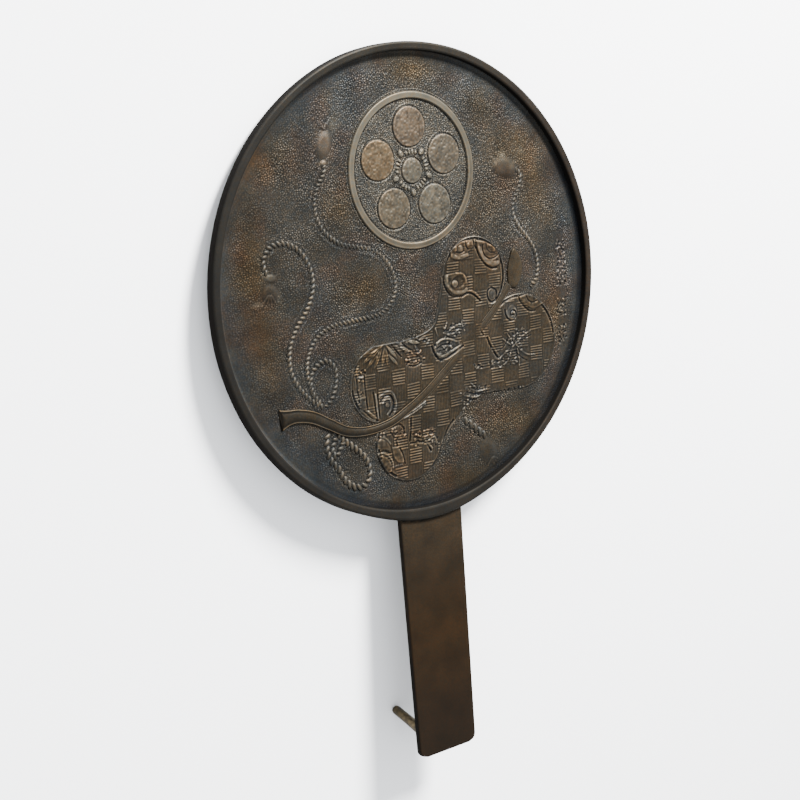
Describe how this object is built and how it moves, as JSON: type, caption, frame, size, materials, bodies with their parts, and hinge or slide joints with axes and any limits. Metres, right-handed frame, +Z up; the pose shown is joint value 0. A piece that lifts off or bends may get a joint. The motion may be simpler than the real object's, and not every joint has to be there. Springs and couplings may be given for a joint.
{
  "type": "handled bronze mirror",
  "caption": "Round bronze hand mirror with a long flat handle, its relief-cast back showing a war fan, tasselled cords and a blossom crest, on a short support rod.",
  "frame": {"origin": "on the surface that the part lies on, under the middle of its box", "axes": "+Y from the handle's end towards the disc's far edge, +X to the right of the decorated side, +Z up; the decorated side faces up, tipped about 3.9 degrees because the handle's end stands on the rod"},
  "size_m": [0.2098, 0.3236, 0.0254],
  "materials": {
    "mirror_bronze": "dark brown aged bronze with a blue-grey and ochre patina",
    "rod_brass": "dull olive-brown brass"
  },
  "bodies": {
    "root": {"mirror": "mirror_bronze", "support_rod": "rod_brass"}
  },
  "joints": []
}
